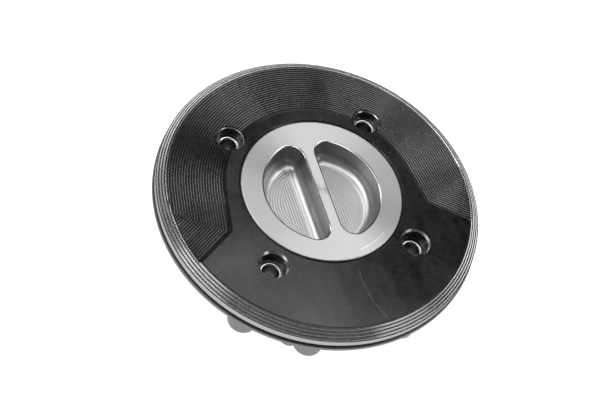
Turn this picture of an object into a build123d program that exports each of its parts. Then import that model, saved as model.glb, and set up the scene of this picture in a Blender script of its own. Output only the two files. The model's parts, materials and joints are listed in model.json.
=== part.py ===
"""Bolt-on fuel filler cap with a bayonet plug, in millimetres, +Z up.

The origin is the centre of the screw circle, on the face that seats on the tank. +Y points
to the middle of the ridged field. Two rings are screwed together and bolt to the tank. The
plug drops through them, turns under a slotted ledge, and carries a one-way breather.
"""
from math import acos, atan2, cos, degrees, hypot, radians, sin, sqrt
import os

from build123d import *

# ---- driving dimensions --------------------------------------------------------------

TOP_Z = 17.4                  # smooth plateau above the tank
PLATEAU_R = 54.2              # where the stepped rim begins
LIP_R = 58.8                  # outside of the lower ring

# stepped rim: a riser, a tread and a 45 degree land, repeated outwards
RIM_LANDS = 4
RISER = 0.25
TREAD = 0.42
LAND = 0.48

# ridged field: its edge is an arc round the plug, then a corner on each side
FIELD_ARC_R = 34.2
FIELD_CORNER_X = 36.3
FIELD_CORNER_Y = -11.4
FIELD_FALL_DEG = 36.3         # how far the outer stretch falls away below X
FIELD_DROP = 0.80             # plateau to ridge crests
FIELD_WALL = 1.20             # width of the sloped wall round the field
RIDGE_PITCH = 0.93
RIDGE_DEPTH = 0.28
RIDGE_COUNT = 22

# mounting screws, M5
SCREW_CIRCLE_R = 37.25
SCREW_AZIMUTHS = (45, 135, 225, 315)
SCREW_HOLE_R = 2.75
SCREW_SINK_R = 4.7
SCREW_SINK_CHAMFER = 0.7
SCREW_SEAT_Z = 12.5
SCREW_SEAT_CHAMFER = 0.75

# upper ring
BORE_R = 29.35
BORE_CHAMFER = 0.6
FLANGE_Z = 12.0               # underside of its thin outer part
FLANGE_HUB_Z = 6.0
FLANGE_HUB_R = 44.0
EDGE = 0.3                    # plain edge break

# lower ring
GASKET = 1.0
PLATE_Z = 9.2                 # underside of its plate
HUB_R = 47.0
HUB_GAP = 0.4                 # round the hub of the upper ring
RECESS_R = 29.6
LEDGE_TOP_Z = 2.5
LEDGE_Z = -4.0
LEDGE_BORE_R = 20.2
NECK_R = 25.5
NECK_BORE_R = 23.4
NECK_Z = -22.0
NECK_CHAMFER = 0.8

# feet under the lower ring, set out each way from -Y and from +Y
FOOT_R = 5.2
FOOT_CIRCLE_R = 51.5
FOOT_SPREADS = (19.5, 45.6)
RIB_WIDTH = 3.0
RIB_Z = 2.0

# short bosses beside the feet; two of them hold dowels
BOSS_R = 3.6
BOSS_Z = 4.8
BOSS_CIRCLE_R = 53.4
BOSS_SPREAD = 27.4
DOWEL_R = 1.5
DOWEL_Z = (5.8, 14.6)
DOWEL_AZIMUTHS = (90 - BOSS_SPREAD, 270 - BOSS_SPREAD)

# ring screws, M4 from below
RING_SCREW_CIRCLE_R = 51.0
RING_SCREW_AZIMUTHS = (0, 90, 180, 270)
RING_SCREW_LENGTH = 6.0

# M4 socket cap screw
M4_R = 2.0
M4_CLEARANCE = 0.2
M4_HEAD_R = 3.5
M4_HEAD = 4.0
M4_SOCKET = 3.0               # across flats
M4_SOCKET_DEPTH = 2.0
TAP_DEPTH = 0.2               # tapped hole beyond the screw's tip

# bayonet
LUG_AZIMUTHS = (90, 210, 330)
LUG_WIDTH_DEG = 50.0
LUG_R = 23.1
LUG_CLEARANCE = 0.15          # under the ledge
SLOT_WIDTH_DEG = 53.0
PLUG_TURN_DEG = 60.0
STOP_PIN_R = 1.25
STOP_PIN_CIRCLE_R = 21.7
STOP_PIN_AZIMUTH = 61.4
STOP_PIN_Z = (-8.0, -1.0)

# plug cap
PLUG_R = 29.0
PLUG_Z = 3.0
PLUG_EDGE = 0.4
POCKET_R = 21.0
POCKET_DEPTH = 10.0
POCKET_CORNER_R = 4.8
POCKET_FLOOR_R = 3.0
BAR_WIDTH = 4.4
MARK_R = (26.0, 26.5)
MARK_AZIMUTH = 296.0
MARK_SPAN_DEG = 29.0
MARK_DEPTH = 0.2

# plug body
BODY_R = 20.12                # 0.08 running clearance in the ledge bore
BODY_CORE_R = 19.8
BODY_Z = -9.0
BODY_BOSS_R = 8.0
BODY_BOSS_Z = -14.0
BODY_EDGE = 0.5
PLUG_SCREW_CIRCLE_R = 13.5
PLUG_SCREW_SEAT_Z = -4.4
PLUG_SCREW_LENGTH = 10.0

# seals, cut square
FACE_SEAL_R = (23.6, 26.4)
FACE_SEAL_Z = (2.6, 5.2)
BORE_SEAL_R = (18.4, 20.15)
BORE_SEAL_Z = (-1.0, 0.8)
TANK_SEAL_R = (30.0, 32.6)
TANK_SEAL_Z = (-0.4, 2.3)
SLIP_WASHER_R = (20.3, 23.0)
SLIP_WASHER_Z = (2.6, 3.0)

# breather, from the tank upwards
RETAINER_R = 5.0
RETAINER_TOP_Z = -10.0
RETAINER_SOCKET = 5.0         # across flats
RETAINER_SOCKET_DEPTH = 2.2
CHAMBER_R = 3.3
CHAMBER_TOP_Z = -0.8
VENT_HOLE_R = 1.2
BALL_R = 2.8
BALL_SEAT_GAP = 0.05
SPRING_R = 2.3
SPRING_WIRE_R = 0.25
SPRING_TURNS = 3
FILTER_R = 5.0
FILTER_HEIGHT = 1.6
AIRWAY_R = 0.7
AIRWAY_Z = 6.3

PAST = 1.0                    # how far a cutter runs past the face it opens
PLATE_TOP_Z = FLANGE_Z - GASKET
HUB_TOP_Z = FLANGE_HUB_Z - GASKET


# ---- helpers -------------------------------------------------------------------------

def at(radius, azimuth, z=0.0):
    """A point given by radius, azimuth in degrees and height."""
    return (radius * cos(radians(azimuth)), radius * sin(radians(azimuth)), z)


def turned(points):
    """A solid of revolution about Z from (radius, height) points."""
    outline = Polyline(*[(r, 0, z) for r, z in points], close=True)
    return revolve(make_face(outline), Axis.Z)


def post(radius, low, high):
    """An upright cylinder on the Z axis."""
    return Pos(0, 0, low) * Cylinder(radius, high - low, align=(Align.CENTER, Align.CENTER, Align.MIN))


def washer(radii, heights):
    """A flat ring between two radii and two heights."""
    inner, outer = radii
    low, high = heights
    return post(outer, low, high) - post(inner, low, high)


def sector(inner, outer, azimuth, width, low, high):
    """The part of a flat ring that spans an angle."""
    reach = 2 * outer
    corners = [at(reach, azimuth + turn, low) for turn in (-width / 2, 0, width / 2)]
    slice_face = make_face(Polyline((0, 0, low), *corners, close=True))
    return washer((inner, outer), (low, high)) & extrude(slice_face, high - low, dir=(0, 0, 1))


def hexagon(across_flats, low, high):
    """An upright hexagonal prism on the Z axis."""
    outline = RegularPolygon(across_flats / 2, 6, major_radius=False)
    return extrude(Pos(0, 0, low) * outline, high - low)


def cap_screw(length):
    """An M4 socket cap screw, head down, with the underside of its head at height 0."""
    socket = hexagon(M4_SOCKET, -M4_HEAD - PAST, M4_SOCKET_DEPTH - M4_HEAD)
    head = turned([
        (0, -M4_HEAD), (M4_HEAD_R - EDGE, -M4_HEAD), (M4_HEAD_R, EDGE - M4_HEAD),
        (M4_HEAD_R, 0), (0, 0),
    ])
    shank = turned([(0, 0), (M4_R, 0), (M4_R, length - EDGE), (M4_R - EDGE, length), (0, length)])
    return head - socket + shank


# ---- upper ring ----------------------------------------------------------------------

def rim_steps():
    """(radius, height) down the stepped rim, from the plateau to the outer wall."""
    r = PLATEAU_R
    z = TOP_Z
    points = [(r, z)]
    for step in range(RIM_LANDS + 1):
        z -= RISER
        points.append((r, z))
        r += TREAD
        points.append((r, z))
        if step < RIM_LANDS:
            r += LAND
            z -= LAND
            points.append((r, z))
    return points


def field_section():
    """(offset, height) round what the ridged field removes: a sloped wall, then V grooves."""
    crest = TOP_Z - FIELD_DROP
    points = [(0, TOP_Z + PAST), (0, TOP_Z), (FIELD_WALL, crest)]
    for ridge in range(RIDGE_COUNT):
        start = FIELD_WALL + ridge * RIDGE_PITCH
        points.append((start + RIDGE_PITCH / 2, crest - RIDGE_DEPTH))
        points.append((start + RIDGE_PITCH, crest))
    points.append((points[-1][0], TOP_Z + PAST))
    return points


def field_run(start, azimuth, length):
    """The field's section run straight along an azimuth, with its offsets to the left."""
    along = Vector(*at(1, azimuth))
    outward = Vector(*at(1, azimuth + 90))
    section = make_face(Polyline(*[(s, z) for s, z in field_section()], close=True))
    return extrude(Plane(origin=start, x_dir=outward, z_dir=along) * section, length, dir=along)


def field_cutter():
    """What the field removes. Its grooves keep step with its edge and meet on mitres."""
    corner = (FIELD_CORNER_X, FIELD_CORNER_Y, 0)
    corner_r = hypot(FIELD_CORNER_X, FIELD_CORNER_Y)
    tangent = degrees(atan2(FIELD_CORNER_Y, FIELD_CORNER_X) + acos(FIELD_ARC_R / corner_r))
    straight = sqrt(corner_r ** 2 - FIELD_ARC_R ** 2)
    mitre = (tangent + 90 - FIELD_FALL_DEG) / 2
    mitre_plane = Plane(origin=corner, x_dir=(0, 0, 1), z_dir=at(1, mitre + 90))

    section = make_face(Polyline(*[(FIELD_ARC_R + s, 0, z) for s, z in field_section()], close=True))
    arc = revolve(Rot(0, 0, tangent) * section, Axis.Z, 180 - 2 * tangent)
    inner_run = field_run(at(FIELD_ARC_R, tangent), tangent - 90, straight)
    outer_run = field_run(corner, -FIELD_FALL_DEG, PLATEAU_R / 2)
    side = split(inner_run, mitre_plane, keep=Keep.TOP) + split(outer_run, mitre_plane, keep=Keep.BOTTOM)
    return arc + side + mirror(side, Plane.YZ)


def mounting_hole():
    """A counterbored M5 hole, from above the plateau to below the upper ring."""
    return turned([
        (0, FLANGE_HUB_Z - PAST), (SCREW_HOLE_R, FLANGE_HUB_Z - PAST),
        (SCREW_HOLE_R, SCREW_SEAT_Z - SCREW_SEAT_CHAMFER),
        (SCREW_HOLE_R + SCREW_SEAT_CHAMFER, SCREW_SEAT_Z), (SCREW_SINK_R, SCREW_SEAT_Z),
        (SCREW_SINK_R, TOP_Z - SCREW_SINK_CHAMFER),
        (SCREW_SINK_R + SCREW_SINK_CHAMFER + PAST, TOP_Z + PAST), (0, TOP_Z + PAST),
    ])


def make_flange_ring():
    """Black anodised upper ring: plateau, ridged field and stepped rim over a thicker hub."""
    steps = rim_steps()
    wall_r = steps[-1][0]
    ring = turned([
        (BORE_R, FLANGE_HUB_Z), (FLANGE_HUB_R - EDGE, FLANGE_HUB_Z), (FLANGE_HUB_R, FLANGE_HUB_Z + EDGE),
        (FLANGE_HUB_R, FLANGE_Z), (wall_r - EDGE, FLANGE_Z), (wall_r, FLANGE_Z + EDGE),
        *reversed(steps),
        (BORE_R + BORE_CHAMFER, TOP_Z), (BORE_R, TOP_Z - BORE_CHAMFER),
    ])
    ring -= field_cutter()
    for azimuth in SCREW_AZIMUTHS:
        ring -= Pos(*at(SCREW_CIRCLE_R, azimuth)) * mounting_hole()
    screw_tip = PLATE_Z + RING_SCREW_LENGTH + TAP_DEPTH
    for azimuth in RING_SCREW_AZIMUTHS:
        ring -= Pos(*at(RING_SCREW_CIRCLE_R, azimuth)) * post(M4_R, FLANGE_Z - PAST, screw_tip)
    for azimuth in DOWEL_AZIMUTHS:
        ring -= Pos(*at(BOSS_CIRCLE_R, azimuth)) * post(DOWEL_R, FLANGE_Z - PAST, DOWEL_Z[1])
    return ring


# ---- lower ring ----------------------------------------------------------------------

def foot_azimuths(spread):
    """The same place each way from -Y and from +Y."""
    return (90 - spread, 90 + spread, 270 - spread, 270 + spread)


def foot():
    """A round foot that reaches from the plate down to the tank."""
    return turned([
        (0, 0), (FOOT_R - EDGE, 0), (FOOT_R, EDGE), (FOOT_R, PLATE_Z + EDGE), (0, PLATE_Z + EDGE),
    ])


def rib():
    """A web along +X that ties a foot back to the hub."""
    inner = HUB_R - RIB_WIDTH / 2
    return Pos(inner, 0, RIB_Z) * Box(
        FOOT_CIRCLE_R - inner, RIB_WIDTH, PLATE_Z + EDGE - RIB_Z, align=(Align.MIN, Align.CENTER, Align.MIN)
    )


def boss():
    """A short boss under the plate, deep enough to hold a dowel."""
    return turned([
        (0, BOSS_Z), (BOSS_R - EDGE, BOSS_Z), (BOSS_R, BOSS_Z + EDGE), (BOSS_R, PLATE_Z + EDGE),
        (0, PLATE_Z + EDGE),
    ])


def make_base_ring():
    """Plain silver lower ring: plate, hub, slotted ledge, neck, feet and bosses in one piece."""
    flange_seat_r = FLANGE_HUB_R + HUB_GAP
    ring = turned([
        (LEDGE_BORE_R, LEDGE_Z), (NECK_BORE_R, LEDGE_Z), (NECK_BORE_R, NECK_Z),
        (NECK_R - NECK_CHAMFER, NECK_Z), (NECK_R, NECK_Z + NECK_CHAMFER), (NECK_R, 0),
        (TANK_SEAL_R[0], 0), (TANK_SEAL_R[0], TANK_SEAL_Z[1]),
        (TANK_SEAL_R[1], TANK_SEAL_Z[1]), (TANK_SEAL_R[1], 0),
        (HUB_R - EDGE, 0), (HUB_R, EDGE), (HUB_R, PLATE_Z),
        (LIP_R - EDGE, PLATE_Z), (LIP_R, PLATE_Z + EDGE),
        (LIP_R, PLATE_TOP_Z - EDGE), (LIP_R - EDGE, PLATE_TOP_Z),
        (flange_seat_r, PLATE_TOP_Z), (flange_seat_r, HUB_TOP_Z),
        (RECESS_R, HUB_TOP_Z), (RECESS_R, LEDGE_TOP_Z), (LEDGE_BORE_R, LEDGE_TOP_Z),
    ])
    for spread in FOOT_SPREADS:
        for azimuth in foot_azimuths(spread):
            ring += Pos(*at(FOOT_CIRCLE_R, azimuth)) * foot()
            ring += Rot(0, 0, azimuth) * rib()
    for azimuth in foot_azimuths(BOSS_SPREAD):
        ring += Pos(*at(BOSS_CIRCLE_R, azimuth)) * boss()
    for azimuth in LUG_AZIMUTHS:
        ring -= sector(
            LEDGE_BORE_R - PAST, NECK_BORE_R, azimuth + PLUG_TURN_DEG, SLOT_WIDTH_DEG,
            LEDGE_Z - PAST, LEDGE_TOP_Z + PAST,
        )
    for azimuth in SCREW_AZIMUTHS:
        ring -= Pos(*at(SCREW_CIRCLE_R, azimuth)) * post(SCREW_HOLE_R, -PAST, HUB_TOP_Z + PAST)
    for azimuth in RING_SCREW_AZIMUTHS:
        ring -= Pos(*at(RING_SCREW_CIRCLE_R, azimuth)) * post(M4_R + M4_CLEARANCE, 0, FLANGE_Z)
    for azimuth in DOWEL_AZIMUTHS:
        ring -= Pos(*at(BOSS_CIRCLE_R, azimuth)) * post(DOWEL_R, DOWEL_Z[0], FLANGE_Z)
    ring -= Pos(*at(STOP_PIN_CIRCLE_R, STOP_PIN_AZIMUTH)) * post(STOP_PIN_R, LEDGE_Z - PAST, STOP_PIN_Z[1])
    return ring


def make_ring_screw(azimuth):
    """One of the screws that hold the two rings together."""
    return Pos(*at(RING_SCREW_CIRCLE_R, azimuth, PLATE_Z)) * cap_screw(RING_SCREW_LENGTH)


def make_dowel(azimuth):
    """One of the dowels that line the two rings up."""
    return Pos(*at(BOSS_CIRCLE_R, azimuth)) * post(DOWEL_R, *DOWEL_Z)


def make_stop_pin():
    """Pin under the ledge that the lugs meet at each end of the plug's turn."""
    return Pos(*at(STOP_PIN_CIRCLE_R, STOP_PIN_AZIMUTH)) * post(STOP_PIN_R, *STOP_PIN_Z)


# ---- seals between the rings and to the tank -----------------------------------------

def make_rim_gasket():
    """Thin gasket under the rim, set back a little so that it shows as a dark line."""
    gasket = washer((FLANGE_HUB_R + 2 * HUB_GAP, rim_steps()[-1][0] - 2 * EDGE), (PLATE_TOP_Z, FLANGE_Z))
    for azimuth in RING_SCREW_AZIMUTHS:
        gasket -= Pos(*at(RING_SCREW_CIRCLE_R, azimuth)) * post(M4_R + M4_CLEARANCE, PLATE_Z, FLANGE_Z + PAST)
    for azimuth in DOWEL_AZIMUTHS:
        gasket -= Pos(*at(BOSS_CIRCLE_R, azimuth)) * post(DOWEL_R, PLATE_Z, FLANGE_Z + PAST)
    return gasket


def make_hub_gasket():
    """Flat gasket between the hubs, pierced by the mounting screws."""
    gasket = washer((RECESS_R + PLUG_EDGE, FLANGE_HUB_R - EDGE), (HUB_TOP_Z, FLANGE_HUB_Z))
    for azimuth in SCREW_AZIMUTHS:
        gasket -= Pos(*at(SCREW_CIRCLE_R, azimuth)) * post(SCREW_HOLE_R, 0, TOP_Z)
    return gasket


# ---- plug ----------------------------------------------------------------------------

def finger_pocket():
    """Cutter for the +X pocket: a D in plan, with round corners and a round-edged floor."""
    half_plane = Pos(BAR_WIDTH / 2 + POCKET_R, 0) * Rectangle(2 * POCKET_R, 2 * POCKET_R)
    outline = Circle(POCKET_R) & half_plane
    outline = fillet(outline.vertices(), POCKET_CORNER_R)
    pocket = extrude(Pos(0, 0, TOP_Z - POCKET_DEPTH) * outline, POCKET_DEPTH + PAST)
    return fillet(pocket.edges().group_by(Axis.Z)[0], POCKET_FLOOR_R)


def make_plug_cap():
    """Silver disc with two finger pockets either side of a grip bar."""
    pocket = finger_pocket()
    cap = post(PLUG_R, PLUG_Z, TOP_Z) - pocket - mirror(pocket, Plane.YZ)
    top_edges = cap.edges().group_by(Axis.Z)[-1]
    cap = chamfer(top_edges, PLUG_EDGE)
    mark_low = TOP_Z - MARK_DEPTH
    cap -= sector(*MARK_R, MARK_AZIMUTH, MARK_SPAN_DEG, mark_low, TOP_Z + PAST)
    cap -= washer(FACE_SEAL_R, (PLUG_Z - PAST, FACE_SEAL_Z[1]))
    cap -= post(FILTER_R, PLUG_Z - PAST, PLUG_Z + FILTER_HEIGHT)
    cap -= post(AIRWAY_R, PLUG_Z, AIRWAY_Z)
    cap -= Pos(0, 0, AIRWAY_Z) * Rot(90, 0, 0) * post(AIRWAY_R, 0, PLUG_R + PAST)
    for azimuth in LUG_AZIMUTHS:
        tip = PLUG_SCREW_SEAT_Z + PLUG_SCREW_LENGTH + TAP_DEPTH
        cap -= Pos(*at(PLUG_SCREW_CIRCLE_R, azimuth)) * post(M4_R, PLUG_Z - PAST, tip)
    return cap


def make_plug_body():
    """Lower part of the plug: three lugs, a seal groove, screw bores and the vent chamber."""
    lug_top = LEDGE_Z - LUG_CLEARANCE
    body = turned([
        (0, BODY_BOSS_Z), (BODY_BOSS_R - BODY_EDGE, BODY_BOSS_Z), (BODY_BOSS_R, BODY_BOSS_Z + BODY_EDGE),
        (BODY_BOSS_R, BODY_Z), (BODY_CORE_R - BODY_EDGE, BODY_Z), (BODY_CORE_R, BODY_Z + BODY_EDGE),
        (BODY_CORE_R, lug_top), (BODY_R, lug_top),
        (BODY_R, BORE_SEAL_Z[0]), (BORE_SEAL_R[0], BORE_SEAL_Z[0]),
        (BORE_SEAL_R[0], BORE_SEAL_Z[1]), (BODY_R, BORE_SEAL_Z[1]),
        (BODY_R, PLUG_Z), (0, PLUG_Z),
    ])
    for azimuth in LUG_AZIMUTHS:
        body += sector(BODY_CORE_R - PAST, LUG_R, azimuth, LUG_WIDTH_DEG, BODY_Z + BODY_EDGE, lug_top)
        screw_bore = post(M4_R + M4_CLEARANCE, BODY_Z - PAST, PLUG_Z + PAST)
        screw_bore += post(M4_HEAD_R + M4_CLEARANCE, BODY_Z - PAST, PLUG_SCREW_SEAT_Z)
        body -= Pos(*at(PLUG_SCREW_CIRCLE_R, azimuth)) * screw_bore
    seat_rise = CHAMBER_R - VENT_HOLE_R
    return body - turned([
        (0, BODY_BOSS_Z - PAST), (RETAINER_R, BODY_BOSS_Z - PAST), (RETAINER_R, RETAINER_TOP_Z),
        (CHAMBER_R, RETAINER_TOP_Z), (CHAMBER_R, CHAMBER_TOP_Z),
        (VENT_HOLE_R, CHAMBER_TOP_Z + seat_rise), (VENT_HOLE_R, PLUG_Z + PAST), (0, PLUG_Z + PAST),
    ])


def make_plug_screw(azimuth):
    """One of the screws that join plug body and plug cap."""
    return Pos(*at(PLUG_SCREW_CIRCLE_R, azimuth, PLUG_SCREW_SEAT_Z)) * cap_screw(PLUG_SCREW_LENGTH)


# ---- breather ------------------------------------------------------------------------

def ball_z():
    """Height of the ball's centre, just clear of its conical seat."""
    cone_tip = CHAMBER_TOP_Z + CHAMBER_R
    return cone_tip - (BALL_R + BALL_SEAT_GAP) * sqrt(2)


def make_vent_ball():
    """Steel ball that closes the vent from below."""
    return Pos(0, 0, ball_z()) * Sphere(BALL_R)


def make_vent_spring():
    """Light spring that holds the ball up, from the retainer to the ball's underside."""
    ball_drop = sqrt((BALL_R + SPRING_WIRE_R) ** 2 - SPRING_R ** 2)
    low = RETAINER_TOP_Z + SPRING_WIRE_R
    high = ball_z() - ball_drop
    coil = Pos(0, 0, low) * Helix((high - low) / SPRING_TURNS, high - low, SPRING_R)
    wire = Plane(origin=coil @ 0, z_dir=coil % 0) * Circle(SPRING_WIRE_R)
    return sweep(wire, path=coil)


def make_vent_retainer():
    """Brass screw plug with a hexagon socket and a through hole."""
    retainer = turned([
        (VENT_HOLE_R, BODY_BOSS_Z), (RETAINER_R - EDGE, BODY_BOSS_Z), (RETAINER_R, BODY_BOSS_Z + EDGE),
        (RETAINER_R, RETAINER_TOP_Z), (VENT_HOLE_R, RETAINER_TOP_Z),
    ])
    return retainer - hexagon(RETAINER_SOCKET, BODY_BOSS_Z - PAST, BODY_BOSS_Z + RETAINER_SOCKET_DEPTH)


def make_vent_filter():
    """Sintered disc over the vent, in a recess under the plug cap."""
    return post(FILTER_R, PLUG_Z, PLUG_Z + FILTER_HEIGHT)


# ---- all pieces ----------------------------------------------------------------------

def make_pieces():
    """Every piece by its node name."""
    pieces = {
        "flange_ring": make_flange_ring(),
        "base_ring": make_base_ring(),
        "rim_gasket": make_rim_gasket(),
        "hub_gasket": make_hub_gasket(),
        "tank_seal": washer(TANK_SEAL_R, TANK_SEAL_Z),
        "stop_pin": make_stop_pin(),
        "plug_cap": make_plug_cap(),
        "plug_body": make_plug_body(),
        "face_seal": washer(FACE_SEAL_R, FACE_SEAL_Z),
        "bore_seal": washer(BORE_SEAL_R, BORE_SEAL_Z),
        "slip_washer": washer(SLIP_WASHER_R, SLIP_WASHER_Z),
        "vent_filter": make_vent_filter(),
        "vent_ball": make_vent_ball(),
        "vent_spring": make_vent_spring(),
        "vent_retainer": make_vent_retainer(),
    }
    for number, azimuth in enumerate(RING_SCREW_AZIMUTHS, start=1):
        pieces[f"ring_screw_{number}"] = make_ring_screw(azimuth)
    for number, azimuth in enumerate(DOWEL_AZIMUTHS, start=1):
        pieces[f"locating_dowel_{number}"] = make_dowel(azimuth)
    for number, azimuth in enumerate(LUG_AZIMUTHS, start=1):
        pieces[f"plug_screw_{number}"] = make_plug_screw(azimuth)
    return pieces


os.makedirs("parts", exist_ok=True)
for name, piece in make_pieces().items():
    export_step(piece, f"parts/{name}.step")
    print(f"{name}: {piece.volume:.1f} mm3")
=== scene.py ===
# %% [markdown]
# # A bolt-on fuel filler cap
#
# The cap is two turned rings with a twist-off plug between them. The upper ring is black
# anodised, and its rim was cut again afterwards, so narrow bands of bare metal step down its
# edge. The plug is silver, with two finger pockets. In this lesson the machined pieces that
# face the rider are cut from turned blanks, as in the workshop, and every finish is a small
# network of shader nodes.
#
# The packed model comes first. It fixes every size and place, so nothing is moved afterwards.

# %% Load the fixed frame
import json
from math import acos, atan2, ceil, cos, degrees, hypot, pi, radians, sin, sqrt, tan

import bmesh
import bpy
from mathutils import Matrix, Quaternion, Vector

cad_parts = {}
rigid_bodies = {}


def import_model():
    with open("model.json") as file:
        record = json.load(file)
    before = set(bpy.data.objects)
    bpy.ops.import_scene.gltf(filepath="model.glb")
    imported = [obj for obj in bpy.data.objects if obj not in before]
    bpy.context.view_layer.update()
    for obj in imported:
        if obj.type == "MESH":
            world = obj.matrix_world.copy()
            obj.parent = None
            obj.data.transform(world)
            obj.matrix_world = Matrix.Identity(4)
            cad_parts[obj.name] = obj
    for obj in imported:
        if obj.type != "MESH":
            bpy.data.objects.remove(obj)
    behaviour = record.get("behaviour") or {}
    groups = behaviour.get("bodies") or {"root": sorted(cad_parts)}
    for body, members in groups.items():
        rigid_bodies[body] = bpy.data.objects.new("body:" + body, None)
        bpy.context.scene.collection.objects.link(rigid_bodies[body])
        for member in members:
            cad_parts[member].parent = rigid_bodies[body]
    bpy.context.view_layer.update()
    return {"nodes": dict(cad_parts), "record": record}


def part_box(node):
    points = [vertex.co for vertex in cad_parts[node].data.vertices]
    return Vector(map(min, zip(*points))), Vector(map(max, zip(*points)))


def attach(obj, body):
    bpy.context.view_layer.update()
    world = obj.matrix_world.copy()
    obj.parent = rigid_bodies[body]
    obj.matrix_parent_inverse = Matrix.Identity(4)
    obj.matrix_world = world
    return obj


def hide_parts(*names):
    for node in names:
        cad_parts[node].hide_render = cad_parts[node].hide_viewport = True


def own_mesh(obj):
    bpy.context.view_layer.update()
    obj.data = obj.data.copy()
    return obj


for leftover in list(bpy.data.objects):
    bpy.data.objects.remove(leftover)
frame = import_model()
nodes = frame["nodes"]

# %% [markdown]
# ## Measures
#
# A maker works in millimetres and Blender in metres, so the lesson writes millimetres and
# turns them into metres where a mesh is made. The outer sizes are read from the frame. The
# rest are the drawing's own dimensions.

# %% Sizes in millimetres
MM = 0.001


def reach(node):
    """How far a node reaches from the axis, its lowest height and its highest, in mm."""
    low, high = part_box(node)
    return high.x / MM, low.z / MM, high.z / MM


WALL_R, HUB_UNDERSIDE, TOP = reach("flange_ring")
LIP_R, FLOOR, PLATE_TOP = reach("base_ring")
PLUG_R, PLUG_UNDERSIDE, PLUG_TOP = reach("plug_cap")
print(f"outer wall {WALL_R:.2f}, lip {LIP_R:.2f}, plug {PLUG_R:.2f}, top face at {TOP:.2f} mm")
print(f"the cap stands on {FLOOR:.2f}, and its lower ring's plate ends at {PLATE_TOP:.2f} mm")

# %% [markdown]
# ## A small language for finishes
#
# Most finishes on turned metal depend on the distance from the axis, so the shaders need
# some arithmetic. Typing Math nodes by hand is slow to read. A class that wraps a socket and
# overloads the operators lets a formula look like a formula, and one method makes every
# other node.

# %% Sockets that can stand in a formula
class Number:
    """A shader socket with a number on it. Each operator adds one Math node."""

    def __init__(self, finish, socket):
        self.finish = finish
        self.socket = socket

    def maths(self, operation, *inputs):
        return self.finish.node("ShaderNodeMath", {"operation": operation}, dict(enumerate(inputs)))

    def __add__(self, other):
        return self.maths("ADD", self, other)

    __radd__ = __add__

    def __sub__(self, other):
        return self.maths("SUBTRACT", self, other)

    def __rsub__(self, other):
        return self.maths("SUBTRACT", other, self)

    def __mul__(self, other):
        return self.maths("MULTIPLY", self, other)

    __rmul__ = __mul__

    def __truediv__(self, other):
        return self.maths("DIVIDE", self, other)

    def __pow__(self, other):
        return self.maths("POWER", self, other)

    def __gt__(self, other):
        return self.maths("GREATER_THAN", self, other)

    def __lt__(self, other):
        return self.maths("LESS_THAN", self, other)

    def wave(self):
        return self.maths("SINE", self)

    def smallest(self, other):
        return self.maths("MINIMUM", self, other)

    def largest(self, other):
        return self.maths("MAXIMUM", self, other)

    def fraction(self):
        return self.maths("FRACT", self)

    def size(self):
        return self.maths("ABSOLUTE", self)

    def spread(self, low, gain):
        """More contrast: low becomes 0, and the rest grows by gain and stops at 1."""
        return ((self - low) * gain).largest(0).smallest(1)


def distance(x, y):
    """How far a point is from an upright axis, from its two offsets."""
    return (x * x + y * y) ** 0.5


print("numbers know", ", ".join(name for name in vars(Number) if not name.startswith("_")))

# %% A finish and its nodes
# A Mix node has sockets for numbers, vectors and colours. These are the ones for colours.
MIX_SHARE, MIX_FIRST, MIX_SECOND, MIX_RESULT = 0, 6, 7, 2


class Finish:
    """A material while it is made. Plain values go straight onto the shader's own sockets."""

    def __init__(self, name, **constants):
        self.material = bpy.data.materials.new(name)
        self.material.use_nodes = True
        self.tree = self.material.node_tree
        self.shader = self.tree.nodes["Principled BSDF"]
        for socket, value in constants.items():
            self.shader.inputs[socket.replace("_", " ")].default_value = value

    def node(self, kind, settings, inputs, output=0):
        """Adds a node: its settings first, then the values or links of its sockets."""
        made = self.tree.nodes.new(kind)
        for setting, value in settings.items():
            setattr(made, setting, value)
        for socket, value in inputs.items():
            if isinstance(value, Number):
                self.tree.links.new(value.socket, made.inputs[socket])
            else:
                made.inputs[socket].default_value = value
        return Number(self, made.outputs[output])

    def drive(self, socket, value):
        """Links a varying value to one of the shader's sockets."""
        self.tree.links.new(value.socket, self.shader.inputs[socket])

    def place(self):
        """x, y and z on the piece, in millimetres."""
        where = self.node("ShaderNodeTexCoord", {}, {}, output="Object")
        metres = [self.node("ShaderNodeSeparateXYZ", {}, {0: where}, output=axis) for axis in "XYZ"]
        return [number * (1 / MM) for number in metres]

    def noise(self, scale, detail=2.0, stretch=(1, 1, 1)):
        """Soft noise between 0 and 1. The scale is in cells per millimetre."""
        where = self.node("ShaderNodeTexCoord", {}, {}, output="Object")
        where = self.node("ShaderNodeVectorMath", {"operation": "MULTIPLY"}, {0: where, 1: stretch})
        inputs = {"Vector": where, "Scale": scale / MM, "Detail": detail}
        return self.node("ShaderNodeTexNoise", {}, inputs)

    def noise_at(self, number, scale, detail=2.0):
        """Noise along one number, such as the distance from the axis in millimetres."""
        inputs = {"W": number, "Scale": scale, "Detail": detail}
        return self.node("ShaderNodeTexNoise", {"noise_dimensions": "1D"}, inputs)

    def colour(self, share, first, second):
        """One colour turning into another as share goes from 0 to 1."""
        start, end = [(*one, 1) if isinstance(one, tuple) else one for one in (first, second)]
        sockets = {MIX_SHARE: share, MIX_FIRST: start, MIX_SECOND: end}
        return self.node("ShaderNodeMix", {"data_type": "RGBA"}, sockets, output=MIX_RESULT)

    def relief(self, height, depth):
        """Bumps from a height between 0 and 1, depth millimetres deep."""
        inputs = {"Height": height, "Distance": depth * MM, "Strength": 1.0}
        self.drive("Normal", self.node("ShaderNodeBump", {}, inputs))


print("finishes are made from", Finish.__name__, "and", Number.__name__)

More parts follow.
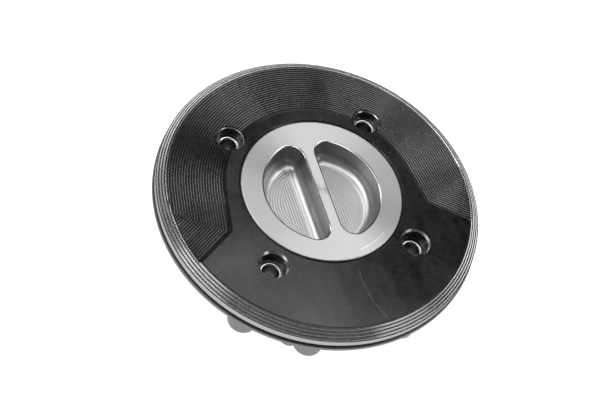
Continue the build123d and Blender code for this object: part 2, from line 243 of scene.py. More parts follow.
# %% [markdown]
# ## Black anodising with bright-cut bands
#
# The upper ring was turned, dyed black, and its rim was cut again. A dark coat over turned
# metal shines in a fan, because the fine circular marks spread light across them, so the
# shader is stretched round the axis. The dye is a little uneven: soft mottling and faint streaks
# from wiping keep the broad flat from looking like paint, and one curved streak is a painted highlight.
#
# Bare metal shows where a tool cut through the dye: on the rim's sloping lands, the outer
# wall, and the mouths and seats of the screw holes. The tops of the ridges are worn to a dull
# grey. A rule on distance and height finds each of these places, and gives 1 there and 0
# elsewhere. That needs no second piece, and every band stays as sharp as the tool left it.

# %% Sizes of the rim, the holes and the ridges
PLATEAU_R = 54.2
RIM_TREAD = 0.42
RIM_LAND = 0.48
RIM_RISER = 0.25
RIM_LANDS = 4
RIM_EASE = 0.06
SCREW_CIRCLE_R = 37.25
SCREW_HOLE_R = 2.75
SCREW_SEAT = 12.5
SCREW_SEAT_ROUND = 0.75
SCREW_SINK_R = 4.7
SCREW_SINK_CHAMFER = 0.7
SCREW_MOUTH_R = SCREW_SINK_R + SCREW_SINK_CHAMFER
FIELD_DROP = 0.80
RIDGE_DEPTH = 0.28
print(f"each screw hole is {2 * SCREW_MOUTH_R:.1f} mm wide at its mouth and {TOP - SCREW_SEAT:.1f} mm deep")

# %% Where bare metal shows
# A mask ends a hair before the real corner, so that it never leaks round it.
HAIR = 0.02
WALL_SKIN = 0.05
CREST = 0.07


def rim_bands(radius):
    """The rim's sloping lands, and the outer wall."""
    step = RIM_TREAD + RIM_LAND
    across = ((radius - PLATEAU_R) / step).fraction() * step
    on_land = (across > RIM_TREAD + RIM_EASE / 2) * (radius > PLATEAU_R)
    return on_land, radius > WALL_R - WALL_SKIN


def from_screw_hole(x, y):
    """The distance from the nearest screw hole's axis. The four holes mirror each other."""
    offset = SCREW_CIRCLE_R * cos(pi / 4)
    return distance(x.size() - offset, y.size() - offset)


def hole_bands(from_hole, z):
    """The flat seat of a screw hole, the rounded edge inside it, and the chamfer at its mouth."""
    on_seat = (from_hole < SCREW_SINK_R - HAIR) * (from_hole > SCREW_HOLE_R + HAIR)
    on_seat = on_seat * (z > SCREW_SEAT - 2 * SCREW_SEAT_ROUND)
    on_seat_edge = on_seat * (from_hole < SCREW_HOLE_R + SCREW_SEAT_ROUND)
    on_chamfer = (from_hole < SCREW_MOUTH_R - HAIR) * (from_hole > SCREW_SINK_R + HAIR)
    field = TOP - FIELD_DROP
    on_plateau = (z < TOP - HAIR) * (z > TOP - SCREW_SINK_CHAMFER)
    in_field = (z < field - RIDGE_DEPTH - 2 * HAIR) * (z > field - SCREW_SINK_CHAMFER)
    return on_seat, on_seat_edge, on_chamfer * on_plateau.largest(in_field)


def ridge_tops(radius, from_hole, z):
    """The tops of the field's ridges, clear of the holes in it."""
    field = TOP - FIELD_DROP
    on_crest = (z > field - CREST) * (z < field + HAIR / 2) * (radius < PLATEAU_R)
    return on_crest * (from_hole > SCREW_MOUTH_R + 5 * HAIR)


print(f"the masks stop {HAIR} mm short of each corner, and the ridges are worn {CREST} mm deep")

# %% The dye and its one painted highlight streak
DYE_DARK = (0.002, 0.002, 0.002)
DYE_PALE = (0.042, 0.042, 0.042)
# A painted highlight: the pale grey of a thin light streak, drawn into the black along a circle.
PAINTED_STREAK_GREY = (0.16, 0.16, 0.16)
PAINTED_STREAK_CENTRE = (35, -37)
PAINTED_STREAK_R = 32.8
PAINTED_STREAK_HALF = 0.4
PAINTED_STREAK_START = -33


def dye_and_painted_streak(finish, x, y):
    """The uneven black, and a painted highlight: a pale streak along part of a circle that fades to both
    sides.
    """
    mottle = finish.noise(scale=0.5, detail=5.0).spread(low=0.3, gain=2.5)
    wipes = finish.noise(scale=0.2, detail=5.0, stretch=(1, 0.25, 1)).spread(low=0.35, gain=3.3)
    black = finish.colour(mottle * 0.5 + wipes * 0.5, DYE_DARK, DYE_PALE)
    # The streak is painted light, a lamp's thin highlight drawn as colour. It comes and goes with the
    # mottling.
    off_painted_streak = (distance(x - PAINTED_STREAK_CENTRE[0], y - PAINTED_STREAK_CENTRE[1]) - PAINTED_STREAK_R).size()
    painted_streak = (1 - off_painted_streak * (1 / PAINTED_STREAK_HALF)).largest(0) * (y < PAINTED_STREAK_START) * mottle
    return finish.colour(painted_streak, black, PAINTED_STREAK_GREY)


print(f"the scratch follows a circle of {PAINTED_STREAK_R} mm and is {2 * PAINTED_STREAK_HALF} mm wide")

# %% Black ring finish
LAND_METAL = (0.84, 0.84, 0.84)
WALL_METAL = (0.40, 0.40, 0.41)
CREST_METAL = (0.26, 0.26, 0.26)
SEAT_METAL = (0.30, 0.30, 0.31)
ROUND_THE_AXIS = {"Anisotropic": 0.8, "Anisotropic_Rotation": 0.25}
DYE_ROUGHNESS = 0.12
CLOUD_ROUGHNESS = 0.06
GRAIN_ROUGHNESS = 0.03
BARE_ROUGHNESS = 0.10
TURNING_DEPTH = 0.0012


def black_ring_finish():
    finish = Finish("black_anodised_bright_cut", IOR=1.55, **ROUND_THE_AXIS)
    x, y, z = finish.place()
    radius = distance(x, y)
    from_hole = from_screw_hole(x, y)
    on_land, on_wall = rim_bands(radius)
    on_seat, on_seat_edge, on_mouth = hole_bands(from_hole, z)
    on_crest = ridge_tops(radius, from_hole, z)
    bare = on_land.largest(on_wall).largest(on_seat).largest(on_mouth).largest(on_crest)
    metal = finish.colour(on_wall, LAND_METAL, WALL_METAL)
    metal = finish.colour(on_crest, metal, CREST_METAL)
    metal = finish.colour(on_seat - on_seat_edge, metal, SEAT_METAL)
    finish.drive("Base Color", finish.colour(bare, dye_and_painted_streak(finish, x, y), metal))
    finish.drive("Metallic", bare)
    cloud = finish.noise(scale=0.07, detail=4.0).spread(low=0.36, gain=3.6)
    grain = finish.noise_at(radius, scale=3.0, detail=3.0)
    speck = finish.noise(scale=2.2)
    roughness = DYE_ROUGHNESS + CLOUD_ROUGHNESS * cloud + GRAIN_ROUGHNESS * grain
    finish.drive("Roughness", roughness + BARE_ROUGHNESS * bare)
    finish.relief(grain * 0.7 + speck * 0.3, TURNING_DEPTH)
    return finish.material


finishes = {"black_ring": black_ring_finish()}
print("the black ring's finish has", len(finishes["black_ring"].node_tree.nodes), "nodes")

# %% [markdown]
# ## Silver metals
#
# The plug is satin, with a bright engraved mark and a bright edge, which were cut last. Its
# two pockets shine another way, so their faces have a finish of their own: darker walls, a
# polished lip, and near-white metal low on the round at the foot, which is a painted highlight.
# The floor keeps the marks of the cutter, which went round inside the pocket in ever smaller
# loops. The nearest wall sets the loop, so the marks come from the smaller of two distances.
# The lower ring is plain turned metal, greyer than the plug, and part of that grey is painted shade.

# %% Plug finish
POCKET_R = 21.0
MARK_R = 26.25
SATIN_DARK = (0.69, 0.69, 0.70)
SATIN_PALE = (0.73, 0.73, 0.74)
# Polished metal on the mark, the edge and the pocket lips. On the pocket's round at the foot it is a painted
# highlight.
POLISH_AND_PAINTED_HIGHLIGHT = (0.95, 0.95, 0.95)
CLOUD_SCALE = 0.05
BLAST_SCALE = 4.0
SATIN_ROUGHNESS = 0.36
BLAST_ROUGHNESS = 0.04
BLAST_DEPTH = 0.0006


def silver_plug_finish():
    finish = Finish("satin_silver", Metallic=1.0, **ROUND_THE_AXIS)
    x, y, z = finish.place()
    cut_last = (z < PLUG_TOP - 1.5 * HAIR) * (distance(x, y) > (POCKET_R + MARK_R) / 2)
    silver = finish.colour(finish.noise(CLOUD_SCALE), SATIN_DARK, SATIN_PALE)
    finish.drive("Base Color", finish.colour(cut_last, silver, POLISH_AND_PAINTED_HIGHLIGHT))
    blast = finish.noise(BLAST_SCALE)
    finish.drive("Roughness", SATIN_ROUGHNESS + BLAST_ROUGHNESS * blast)
    finish.relief(blast, BLAST_DEPTH)
    return finish.material


finishes["silver_plug"] = silver_plug_finish()
print("the plug's finish has", len(finishes["silver_plug"].node_tree.nodes), "nodes")

# %% Pocket finish
BAR_HALF = 2.2
POCKET_DEPTH = 10.0
POCKET_FLOOR_BAND = 0.05
POCKET_LIP_BAND = 0.3
POCKET_FLOOR_METAL = (0.60, 0.60, 0.61)
POCKET_WALL_METAL = (0.46, 0.46, 0.47)
POCKET_ROUGHNESS = 0.33
LIP_POLISH = 0.2
MILL_PITCH = 0.95
MILL_DEPTH = 0.050


def pocket_finish():
    finish = Finish("milled_silver", Metallic=1.0)
    x, y, z = finish.place()
    to_wall = (POCKET_R - distance(x, y)).smallest(x.size() - BAR_HALF)
    above_floor = z - (PLUG_TOP - POCKET_DEPTH)
    on_floor = above_floor < POCKET_FLOOR_BAND
    on_lip = z > PLUG_TOP - POCKET_LIP_BAND
    cutter_marks = (to_wall * (2 * pi / MILL_PITCH)).wave() * 0.5 + 0.5
    finish.relief(cutter_marks * on_floor, MILL_DEPTH)
    # Near white low on the round at the foot, a painted highlight, and darker further up the walls.
    metal = finish.colour(above_floor.spread(low=1.0, gain=0.4), POLISH_AND_PAINTED_HIGHLIGHT, POCKET_WALL_METAL)
    metal = finish.colour(on_lip, metal, POLISH_AND_PAINTED_HIGHLIGHT)
    finish.drive("Base Color", finish.colour(on_floor, metal, POCKET_FLOOR_METAL))
    roughness = POCKET_ROUGHNESS + BLAST_ROUGHNESS * finish.noise(BLAST_SCALE)
    finish.drive("Roughness", roughness - LIP_POLISH * on_lip)
    return finish.material


finishes["milled_pocket"] = pocket_finish()
print(f"the cutter's loops are {MILL_PITCH} mm apart")

# %% Lower ring finish
# These greys are the turned metal's own tone with painted shade added: the ring is kept darker because it
# sits in shade below the cap.
RING_DARK = (0.205, 0.205, 0.21)
RING_PALE = (0.25, 0.25, 0.255)
RING_ROUGHNESS = 0.44
RING_TURNING = 5.0
RING_TURNING_ROUGHNESS = 0.08
RING_TURNING_DEPTH = 0.01


def silver_ring_finish():
    finish = Finish("turned_silver", Metallic=1.0)
    x, y, z = finish.place()
    turning = finish.noise_at(distance(x, y) + z, RING_TURNING)
    finish.drive("Base Color", finish.colour(finish.noise(CLOUD_SCALE), RING_DARK, RING_PALE))
    finish.drive("Roughness", RING_ROUGHNESS + RING_TURNING_ROUGHNESS * turning)
    finish.relief(turning, RING_TURNING_DEPTH)
    return finish.material


finishes["silver_ring"] = silver_ring_finish()
print("the lower ring's finish has", len(finishes["silver_ring"].node_tree.nodes), "nodes")

# %% [markdown]
# ## Seals, screws and the breather
#
# The small parts are bought in: rubber seals, steel screws, an acetal plug body, and a brass
# retainer below a sintered filter. Each has a plain finish with a little grain, so that none
# of them looks like painted plastic when the cap is turned over.

# %% Finishes of the small parts
GRAINED_ROUGHNESS = 0.1


def grained(name, dark, light, roughness, depth, scale, **constants):
    """A plain finish: two close colours, and roughness and relief from one noise."""
    finish = Finish(name, **constants)
    grain = finish.noise(scale, detail=3.0)
    finish.drive("Base Color", finish.colour(grain, dark, light))
    finish.drive("Roughness", roughness + GRAINED_ROUGHNESS * grain)
    finish.relief(grain, depth)
    return finish.material


finishes["rubber"] = grained(
    "seal_rubber", (0.012, 0.012, 0.012), (0.022, 0.022, 0.022),
    roughness=0.5, depth=0.02, scale=1.5,
)
finishes["steel"] = grained(
    "bright_steel", (0.38, 0.38, 0.39), (0.45, 0.45, 0.46),
    roughness=0.25, depth=0.004, scale=2.0, Metallic=1.0,
)
finishes["black_body"] = grained(
    "turned_acetal", (0.014, 0.014, 0.015), (0.02, 0.02, 0.021),
    roughness=0.35, depth=0.01, scale=1.0,
)
finishes["washer"] = grained(
    "slip_plastic", (0.80, 0.79, 0.75), (0.84, 0.83, 0.79),
    roughness=0.4, depth=0.01, scale=1.0,
)
finishes["brass"] = grained(
    "turned_brass", (0.68, 0.50, 0.22), (0.74, 0.57, 0.28),
    roughness=0.25, depth=0.005, scale=2.0, Metallic=1.0,
)
finishes["sintered"] = grained(
    "sintered_bronze", (0.35, 0.22, 0.12), (0.60, 0.42, 0.25),
    roughness=0.5, depth=0.08, scale=5.0, Metallic=1.0,
)
print("finishes:", ", ".join(finishes))

# %% Every node takes the finish of its slot
slot_of = {part["node"]: part["material_slot"] for part in frame["record"]["subparts"]}
for name, node in nodes.items():
    node.data.materials.clear()
    node.data.materials.append(finishes[slot_of[name]])
print(len(slot_of), "nodes have a finish")

# %% [markdown]
# ## Turning and cutting
#
# Turned work starts as a profile that goes once round the axis. Real edges are never quite
# sharp: a tiny round on each corner catches the light, so the profile is eased before it is
# turned. Pockets and holes are then cut with solid tools by a Boolean, as a mill would cut
# them. That keeps each surface exact, where pulling a grid of points about would not.

# %% Profiles
EASE_LIMIT = 0.4


def eased(profile, radius, steps=3):
    """Rounds each corner of a closed profile by a short curve, no longer than its edges allow."""
    points = []
    count = len(profile)
    for index, corner in enumerate(profile):
        corner = Vector(corner)
        before = Vector(profile[index - 1]) - corner
        after = Vector(profile[(index + 1) % count]) - corner
        trim = min(radius, EASE_LIMIT * before.length, EASE_LIMIT * after.length)
        start = corner + before.normalized() * trim
        end = corner + after.normalized() * trim
        for step in range(steps + 1):
            share = step / steps
            near_start = start * (1 - share) ** 2 + corner * 2 * share * (1 - share)
            points.append(near_start + end * share ** 2)
    return [(point.x, point.y) for point in points]


def quarter_round(radius, steps):
    """(inwards, off) pairs along a quarter circle, from the face that it leaves to the next one."""
    turns = [pi / 2 * step / steps for step in range(steps + 1)]
    return [(radius * (1 - cos(turn)), radius * (1 - sin(turn))) for turn in turns]


def direction(angle):
    return Vector((cos(angle), sin(angle)))


square = [(0, 0), (1, 0), (1, 1), (0, 1)]
print("a square with eased corners has", len(eased(square, 0.1)), "points")

# %% Blanks
def ring_faces(count, rings, closed):
    """The four-sided faces between neighbouring rings of count points."""
    faces = []
    for ring in range(rings if closed else rings - 1):
        here = ring * count
        there = (ring + 1) % rings * count
        for step in range(count):
            after = (step + 1) % count
            faces.append((here + step, here + after, there + after, there + step))
    return faces


def lofted(name, rings, closed):
    """A mesh through rings of points, in mm. A closed one joins its last ring to its first."""
    count = len(rings[0])
    points = [tuple(value * MM for value in point) for ring in rings for point in ring]
    faces = ring_faces(count, len(rings), closed)
    if not closed:
        faces.append(tuple(range(count))[::-1])
        faces.append(tuple(range(len(points) - count, len(points))))
    mesh = bpy.data.meshes.new(name)
    mesh.from_pydata(points, [], faces)
    shape = bmesh.new()
    shape.from_mesh(mesh)
    bmesh.ops.recalc_face_normals(shape, faces=shape.faces)
    shape.to_mesh(mesh)
    shape.free()
    piece = bpy.data.objects.new(name, mesh)
    bpy.context.scene.collection.objects.link(piece)
    return piece


def turned(name, profile, segments=480):
    """A ring turned from (radius, height) points that go once round its section."""
    rings = []
    for segment in range(segments):
        angle = 2 * pi * segment / segments
        rings.append([(r * cos(angle), r * sin(angle), z) for r, z in profile])
    return lofted(name, rings, closed=True)


def spindle(name, outline, centre=(0, 0), sides=96):
    """A solid turned about an upright axis from (radius, height) points, flat at both ends."""
    rings = []
    for radius, height in outline:
        turns = [2 * pi * side / sides for side in range(sides)]
        rings.append([(centre[0] + radius * cos(t), centre[1] + radius * sin(t), height) for t in turns])
    return lofted(name, rings, closed=False)


print("three rings of four points make", len(ring_faces(4, 3, closed=True)), "faces")

# %% Cuts and clean shading
LEVEL = 0.9999
SHARP_OVER = radians(32)


def cut(blank, tool):
    """Cuts a tool out of a blank, and puts the tool away."""
    modifier = blank.modifiers.new("cut", "BOOLEAN")
    modifier.object = tool
    modifier.operation = "DIFFERENCE"
    modifier.solver = "MANIFOLD"
    shaped = bpy.data.meshes.new_from_object(blank.evaluated_get(bpy.context.evaluated_depsgraph_get()))
    blank.modifiers.clear()
    blank.data = shaped
    bpy.data.objects.remove(tool)


def outline_flats(mesh):
    """Marks the border of each level face as sharp, so that a large flat stays flat to its edge."""
    shape = bmesh.new()
    shape.from_mesh(mesh)
    for edge in shape.edges:
        level = [abs(face.normal.z) > LEVEL for face in edge.link_faces]
        if any(level) and not all(level):
            edge.smooth = False
    shape.to_mesh(mesh)
    shape.free()


def finished(piece, material):
    """Gives a piece its finish. Flat faces stay flat, and only real corners stay sharp."""
    piece.data.materials.clear()
    piece.data.materials.append(material)
    piece.data.shade_smooth()
    piece.data.set_sharp_from_angle(angle=SHARP_OVER)
    outline_flats(piece.data)
    weighted = piece.modifiers.new("flat faces stay flat", "WEIGHTED_NORMAL")
    weighted.keep_sharp = True
    print(piece.name, len(piece.data.polygons), "faces")
    return piece


print(f"corners over {degrees(SHARP_OVER):.0f} degrees stay sharp")

# %% [markdown]
# ## The upper ring
#
# Its rim steps down in risers, flat treads and narrow sloping lands. The profile is one list
# that a short loop fills, so a land can be added without counting points.

# %% Upper ring blank
BORE_R = 29.35
BORE_CHAMFER = 0.6
HUB_R = 44.0
WALL_FOOT = 11.75
EDGE = 0.15


def rim_steps():
    """(radius, height) down the stepped rim, from the plateau to the outer wall."""
    radius, height = PLATEAU_R, TOP
    points = [(radius, height)]
    for land in range(RIM_LANDS + 1):
        height -= RIM_RISER
        points.append((radius, height))
        radius += RIM_TREAD
        points.append((radius, height))
        if land < RIM_LANDS:
            radius += RIM_LAND
            height -= RIM_LAND
            points.append((radius, height))
    return points


ring_profile = [
    (BORE_R, TOP - BORE_CHAMFER), (BORE_R + BORE_CHAMFER, TOP), *rim_steps(),
    (WALL_R, WALL_FOOT + EDGE), (WALL_R - EDGE, WALL_FOOT), (HUB_R, WALL_FOOT),
    (HUB_R, HUB_UNDERSIDE + EDGE), (HUB_R - EDGE, HUB_UNDERSIDE), (BORE_R, HUB_UNDERSIDE),
]
ring = turned("flange_ring_machined", eased(ring_profile, RIM_EASE), segments=720)
print("blank of the upper ring:", len(ring.data.polygons), "faces")

# %% [markdown]
# ## The ridged field
#
# Most of the ring carries fine ridges that keep step with the field's edge: round the arc
# beside the plug, then straight past a corner on each side, where they meet on a mitre. A
# bump map would look right from one side only, so the ridges are real. One section of the
# field is carried along its edge, and on a mitre the section is stretched so that every
# ridge keeps its height.

# %% Section and path of the field
# Cutting tools reach this far past the metal.
PAST = 1.0
FIELD_ARC_R = 34.2
FIELD_CORNER = Vector((36.3, -11.4))
FIELD_FALL = radians(36.3)
FIELD_RUN = 27
FIELD_WALL = 1.20
# Offset and height above the face: the top of the tool, then the eased edge of the wall.
FIELD_WALL_EDGE = ((-0.4, PAST), (-0.05, 0.03), (0.09, -0.06))
RIDGE_PITCH = 0.93
RIDGE_COUNT = 22
RIDGE_STEPS = 8


def field_section():
    """(offset, height) points across the field: its wall, then smooth ridges."""
    floor = TOP - FIELD_DROP
    section = [(offset, TOP + above) for offset, above in FIELD_WALL_EDGE]
    section.append((FIELD_WALL, floor))
    for step in range(1, RIDGE_COUNT * RIDGE_STEPS + 1):
        phase = step / RIDGE_STEPS
        height = floor - RIDGE_DEPTH * 0.5 * (1 - cos(2 * pi * phase))
        section.append((FIELD_WALL + phase * RIDGE_PITCH, height))
    return section + [(section[-1][0], TOP + PAST)]


def field_path():
    """(point, outward) pairs along the right half of the field's edge, from its far end."""
    corner_angle = atan2(FIELD_CORNER.y, FIELD_CORNER.x)
    tangent = corner_angle + acos(FIELD_ARC_R / FIELD_CORNER.length)
    outer_side = direction(pi / 2 - FIELD_FALL)
    inner_side = direction(tangent)
    mitre = (outer_side + inner_side) / (1 + outer_side.dot(inner_side))
    far_end = FIELD_CORNER + direction(-FIELD_FALL) * FIELD_RUN
    stretch = [(far_end, outer_side), (FIELD_CORNER, mitre)]
    steps = ceil(degrees(pi / 2 - tangent))
    for step in range(steps + 1):
        angle = tangent + (pi / 2 - tangent) * step / steps
        stretch.append((direction(angle) * FIELD_ARC_R, direction(angle)))
    return stretch


print("field section of", len(field_section()), "points")

# %% The field's cutting tool
def field_tool():
    """A solid with the field's section, carried along the right half of its edge and back round."""
    half = field_path()
    other = [(Vector((-point.x, point.y)), Vector((-side.x, side.y))) for point, side in half[-2::-1]]
    rings = []
    for point, outward in half + other:
        rings.append([(*(point + outward * offset), height) for offset, height in field_section()])
    return lofted("field_tool", rings, closed=False)


cut(ring, field_tool())
print("the ring with its ridged field has", len(ring.data.polygons), "faces")

# %% [markdown]
# ## Mounting holes
#
# Four screws hold the cap down, with their heads sunk below the face. Each hole is one
# stepped tool with a chamfer at its mouth, a flat seat, and a rounded edge where the seat
# meets the shank's hole. A turned tool gives all of that in one cut.

# %% Screw holes
SCREW_AZIMUTHS = (45, 135, 225, 315)
SEAT_CORNER = 0.15
MOUTH_OVERLAP = 0.05


def hole_outline(mouth):
    """(radius, height) up the tool: shank hole, rounded edge, seat, wall, and the mouth's chamfer."""
    outline = [(SCREW_HOLE_R, HUB_UNDERSIDE - PAST)]
    for outwards, below in quarter_round(SCREW_SEAT_ROUND, 8):
        outline.append((SCREW_HOLE_R + outwards, SCREW_SEAT - below))
    outline.append((SCREW_SINK_R - SEAT_CORNER, SCREW_SEAT))
    outline.append((SCREW_SINK_R, SCREW_SEAT + SEAT_CORNER))
    outline.append((SCREW_SINK_R, mouth - SCREW_SINK_CHAMFER))
    outline.append((SCREW_MOUTH_R, mouth))
    return outline + [(SCREW_MOUTH_R + MOUTH_OVERLAP, TOP + PAST)]


for azimuth in SCREW_AZIMUTHS:
    in_field = azimuth < 180
    mouth = TOP - FIELD_DROP if in_field else TOP
    cut(ring, spindle("hole_tool", hole_outline(mouth), direction(radians(azimuth)) * SCREW_CIRCLE_R))
finished(ring, finishes["black_ring"])
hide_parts("flange_ring")
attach(ring, "ring")

# %% [markdown]
# ## The plug
#
# The plug's face is a disc with two D-shaped pockets either side of a bar that the fingers
# turn. An outline that is offset inwards gives each level of a pocket: a gently sloping lip,
# a straight wall, and a generous round where the wall meets the floor. Arcs stay arcs when
# they are offset, so the outline is worked out from its three radii.

# %% Pocket outline
POCKET_CORNER_R = 4.8
POCKET_ARC_STEPS = 72
POCKET_CORNER_STEPS = 28
POCKET_BAR_STEPS = 12


def arc(centre, radius, start, end, steps):
    """Points along an arc, without the last one."""
    turns = [start + (end - start) * step / steps for step in range(steps)]
    return [Vector(centre) + direction(turn) * radius for turn in turns]


def pocket_outline(inset):
    """Round the right-hand pocket, moved inwards by inset."""
    corner_x = BAR_HALF + POCKET_CORNER_R
    corner_y = sqrt((POCKET_R - POCKET_CORNER_R) ** 2 - corner_x ** 2)
    turn = atan2(corner_y, corner_x)
    corner_r = POCKET_CORNER_R - inset
    points = arc((0, 0), POCKET_R - inset, -turn, turn, POCKET_ARC_STEPS)
    points += arc((corner_x, corner_y), corner_r, turn, pi, POCKET_CORNER_STEPS)
    for step in range(2 * POCKET_BAR_STEPS):
        points.append(Vector((BAR_HALF + inset, corner_y * (1 - step / POCKET_BAR_STEPS))))
    points += arc((corner_x, -corner_y), corner_r, pi, 2 * pi - turn, POCKET_CORNER_STEPS)
    return points


print("a pocket's outline has", len(pocket_outline(0)), "points")

# %% Pocket tool
POCKET_FLOOR_R = 4.2
POCKET_LIP = 0.5
POCKET_LIP_SLOPE = radians(16)
POCKET_LIP_EASE = 0.06


def pocket_tool(side):
    """One pocket as a solid, from above the face to the floor. side is 1 or -1."""
    floor = PLUG_TOP - POCKET_DEPTH
    lip_foot = PLUG_TOP - POCKET_LIP * tan(POCKET_LIP_SLOPE)
    above = PAST / 2
    levels = [
        (-POCKET_LIP - above, PLUG_TOP + above * tan(POCKET_LIP_SLOPE)),
        (-POCKET_LIP_EASE, lip_foot + POCKET_LIP_EASE / 3),
        (0, lip_foot - POCKET_LIP_EASE * 2 / 3),
    ]
    levels += [(inset, floor + height) for inset, height in quarter_round(POCKET_FLOOR_R, 12)]
    rings = [[(side * p.x, p.y, height) for p in pocket_outline(inset)] for inset, height in levels]
    return lofted("pocket_tool", rings, closed=False)


print(f"a pocket's lip is {POCKET_LIP} mm wide and its floor round {POCKET_FLOOR_R} mm")

# %% The engraved turn mark
MARK_AZIMUTH = 296
MARK_SPAN = 29
MARK_DEPTH = 0.2
MARK_HALF_START = 0.42
MARK_HALF_END = 0.18
MARK_TIP = 0.25
MARK_TIP_GROWTH = 8
MARK_STEPS = 40


def mark_half(share):
    """Half the mark's width: it narrows along its length, and both tips are rounded off."""
    from_tip = min(share, 1 - share)
    blunt = min(1, MARK_TIP_GROWTH * from_tip + MARK_TIP)
    return (MARK_HALF_START + (MARK_HALF_END - MARK_HALF_START) * share) * blunt


def mark_tool():
    """The mark as a solid: a thin arc, a little broader towards its start."""
    outline = []
    for edge in (1, -1):
        side = []
        for step in range(MARK_STEPS + 1):
            share = step / MARK_STEPS
            turn = radians(MARK_AZIMUTH + MARK_SPAN * (share - 0.5))
            side.append(direction(turn) * (MARK_R + edge * mark_half(share)))
        outline += side if edge > 0 else side[::-1]
    heights = (PLUG_TOP - MARK_DEPTH, PLUG_TOP + PAST)
    return lofted("mark_tool", [[(*point, z) for point in outline] for z in heights], closed=False)


print(f"the mark is {radians(MARK_SPAN) * MARK_R:.1f} mm long")

# %% Plug cap
PLUG_EDGE = 0.4
FACE_SEAL_R = (23.6, 26.4)
FACE_SEAL_TOP = 5.2

plug_outline = [(PLUG_R, PLUG_UNDERSIDE)]
for inwards, below in quarter_round(PLUG_EDGE, 5):
    plug_outline.append((PLUG_R - inwards, PLUG_TOP - below))
cap = spindle("plug_cap_machined", plug_outline, sides=480)
for side in (1, -1):
    cut(cap, pocket_tool(side))
cut(cap, mark_tool())
inner, outer = FACE_SEAL_R
below = PLUG_UNDERSIDE - PAST
cut(cap, turned("groove", [(inner, below), (inner, FACE_SEAL_TOP), (outer, FACE_SEAL_TOP), (outer, below)]))
finished(cap, finishes["silver_plug"])

# %% The pockets' own finish
cap.data.materials.append(finishes["milled_pocket"])
pocket_faces = 0
for face in cap.data.polygons:
    centre = face.center / MM
    deep = PLUG_TOP - POCKET_DEPTH - HAIR < centre.z < PLUG_TOP - HAIR
    if deep and hypot(centre.x, centre.y) < POCKET_R + POCKET_LIP:
        face.material_index = 1
        pocket_faces += 1
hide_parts("plug_cap")
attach(cap, "plug")
print(pocket_faces, "faces of the plug are milled")

# %% [markdown]
# ## The breather's spring
#
# A light coil spring holds the breather's ball up, and it shortens as air pushes the ball
# down. So the coil is its own piece, wound by a short loop.

# %% Breather spring
SPRING_R = 2.3
SPRING_WIRE_R = 0.25
SPRING_TURNS = 3
SPRING_STEPS = 40
WIRE_SIDES = 12


def wound(name, bottom, top):
    """A coil of round wire. Each ring of points is one section of the wire."""
    steps = SPRING_STEPS * SPRING_TURNS
    rings = []
    for step in range(steps + 1):
        share = step / steps
        outward = direction(2 * pi * SPRING_TURNS * share)
        ring = []
        for side in range(WIRE_SIDES):
            turn = 2 * pi * side / WIRE_SIDES
            point = outward * (SPRING_R + SPRING_WIRE_R * cos(turn))
            ring.append((*point, bottom + (top - bottom) * share + SPRING_WIRE_R * sin(turn)))
        rings.append(ring)
    return lofted(name, rings, closed=False)


low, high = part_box("vent_spring")
seat, crown = low.z / MM, high.z / MM
spring = finished(wound("vent_spring_wound", seat + SPRING_WIRE_R, crown - SPRING_WIRE_R), finishes["steel"])
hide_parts("vent_spring")
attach(spring, "plug")
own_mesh(spring)

# %% [markdown]
# ## Floor
#
# The cap stands on its neck on a pale floor. Polished metal shows whatever is around it, so
# the floor glows evenly for the camera and for reflections. It adds no light of its own to
# rough surfaces, which would wash out the dark underside.

# %% Floor
FLOOR_HALF = 6.0
FLOOR_PAINT = (0.8, 0.8, 0.8, 1)
NO_GLOW = (0.0, 0.0, 0.0)
FLOOR_GLOW = (0.95, 0.95, 0.95)


def floor_finish():
    finish = Finish(
        "pale_floor", Base_Color=FLOOR_PAINT, Specular_IOR_Level=0.0, Roughness=0.9, Emission_Strength=1.0,
    )
    path = "ShaderNodeLightPath"
    camera_ray = finish.node(path, {}, {}, output="Is Camera Ray")
    mirror_ray = finish.node(path, {}, {}, output="Is Glossy Ray")
    glass_ray = finish.node(path, {}, {}, output="Is Transmission Ray")
    seen = camera_ray.largest(mirror_ray).largest(glass_ray)
    finish.drive("Emission Color", finish.colour(seen, NO_GLOW, FLOOR_GLOW))
    return finish.material


floor_mesh = bpy.data.meshes.new("floor")
corners = [(FLOOR_HALF * x, FLOOR_HALF * y, FLOOR * MM) for x, y in ((-1, -1), (1, -1), (1, 1), (-1, 1))]
floor_mesh.from_pydata(corners, [], [(0, 1, 2, 3)])
floor_mesh.materials.append(floor_finish())
floor = bpy.data.objects.new("floor", floor_mesh)
bpy.context.scene.collection.objects.link(floor)
print(f"the floor lies at {FLOOR:.2f} mm")

# %% [markdown]
# ## Lamps
#
# Brushed metal is lit through its reflections. A ring turned in fine circles mirrors a lamp
# as two bright fans, one on each side of the axis, in the direction halfway between the lamp
# and the eye. So a few soft lamps stand round the cap, each where its fans should fall: the
# strong ones above and to the left light the broad faces, and weaker ones pick out the
# ridges, the rim and the pockets. All of them face the cap from the same distance.

# %% Lamps
LAMP_DISTANCE = 0.8


def heading(azimuth, elevation):
    """A direction from degrees round the axis and degrees above the floor."""
    around, up = radians(azimuth), radians(elevation)
    return Vector((cos(up) * cos(around), cos(up) * sin(around), sin(up)))


def softbox(name, azimuth, elevation, width, height, power):
    """A flat lamp that faces the cap. Its width and height are in metres, its power in watts."""
    lamp = bpy.data.lights.new(name, "AREA")
    lamp.shape = "RECTANGLE"
    lamp.size = width
    lamp.size_y = height
    lamp.energy = power
    holder = bpy.data.objects.new(name, lamp)
    away = heading(azimuth, elevation)
    holder.location = Vector((0, 0, TOP * MM)) + away * LAMP_DISTANCE
    holder.rotation_mode = "QUATERNION"
    holder.rotation_quaternion = away.to_track_quat("Z", "Y")
    bpy.context.scene.collection.objects.link(holder)


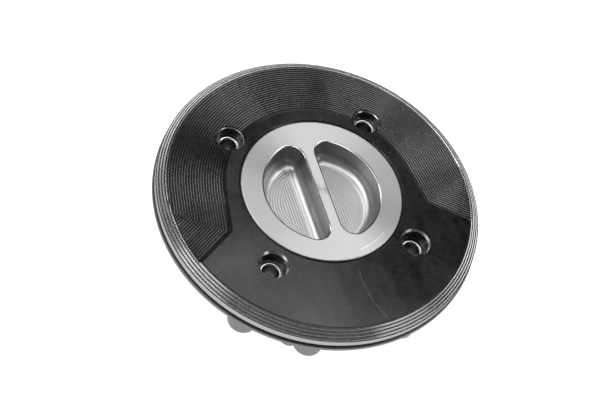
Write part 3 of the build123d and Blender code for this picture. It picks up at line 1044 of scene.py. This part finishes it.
# Name, degrees round the axis, degrees up, width, height and power.
LAMPS = (
    ("overhead_softbox", 30, 69, 0.44, 0.25, 0.70),
    ("overhead_bulb", 42, 65, 0.10, 0.10, 0.03),
    ("right_softbox", 12, 57, 0.20, 0.16, 0.30),
    ("far_overhead_softbox", 82, 58, 0.25, 0.25, 0.34),
    ("far_softbox", 60, 36, 0.28, 0.16, 0.34),
    ("far_left_softbox", 120, 45, 0.25, 0.20, 0.34),
    ("left_softbox", 160, 48, 0.40, 0.20, 0.90),
    ("left_side_softbox", 185, 38, 0.35, 0.18, 0.16),
    ("low_left_softbox", 190, 13, 0.50, 0.20, 0.36),
    ("high_left_softbox", 195, 66, 0.30, 0.15, 0.24),
    ("front_softbox", 311, 25, 0.35, 0.18, 0.25),
    ("right_side_softbox", 352, 41, 0.40, 0.25, 0.22),
    ("top_softbox", 240, 80, 0.30, 0.20, 0.34),
)
for name, azimuth, elevation, width, height, power in LAMPS:
    softbox(name, azimuth, elevation, width, height, power)
print(len(LAMPS), "lamps")

# %% Room
ROOM_GREY = (0.05, 0.05, 0.05, 1)

world = bpy.data.worlds.new("room")
world.use_nodes = True
world.node_tree.nodes["Background"].inputs["Color"].default_value = ROOM_GREY
bpy.context.scene.world = world
bpy.context.scene.view_settings.view_transform = "Standard"
print("the room's grey is", ROOM_GREY[0])

# %% [markdown]
# ## Camera
#
# The camera looks down at the cap from half a metre away, a little from the left. A long
# lens keeps the circles close to true ellipses. The picture is rolled, so that the cap seems
# to lean.

# %% Camera
LENS = 81.05
VIEW_POINT = (-9.47, -3.06, 17.4)
VIEW_AZIMUTH = -126.4
VIEW_ELEVATION = 54.05
VIEW_ROLL = 22.7
VIEW_DISTANCE = 467.1
NEAREST_SEEN = 0.01

camera = bpy.data.objects.new("camera", bpy.data.cameras.new("camera"))
camera.data.lens = LENS
camera.data.clip_start = NEAREST_SEEN
away = heading(VIEW_AZIMUTH, VIEW_ELEVATION)
camera.location = (Vector(VIEW_POINT) + away * VIEW_DISTANCE) * MM
camera.rotation_mode = "QUATERNION"
camera.rotation_quaternion = away.to_track_quat("Z", "Y") @ Quaternion((0, 0, 1), radians(VIEW_ROLL))
bpy.context.scene.collection.objects.link(camera)
bpy.context.scene.camera = camera
print(f"the camera is {VIEW_DISTANCE:.0f} mm from the cap, with a lens of {LENS} mm")
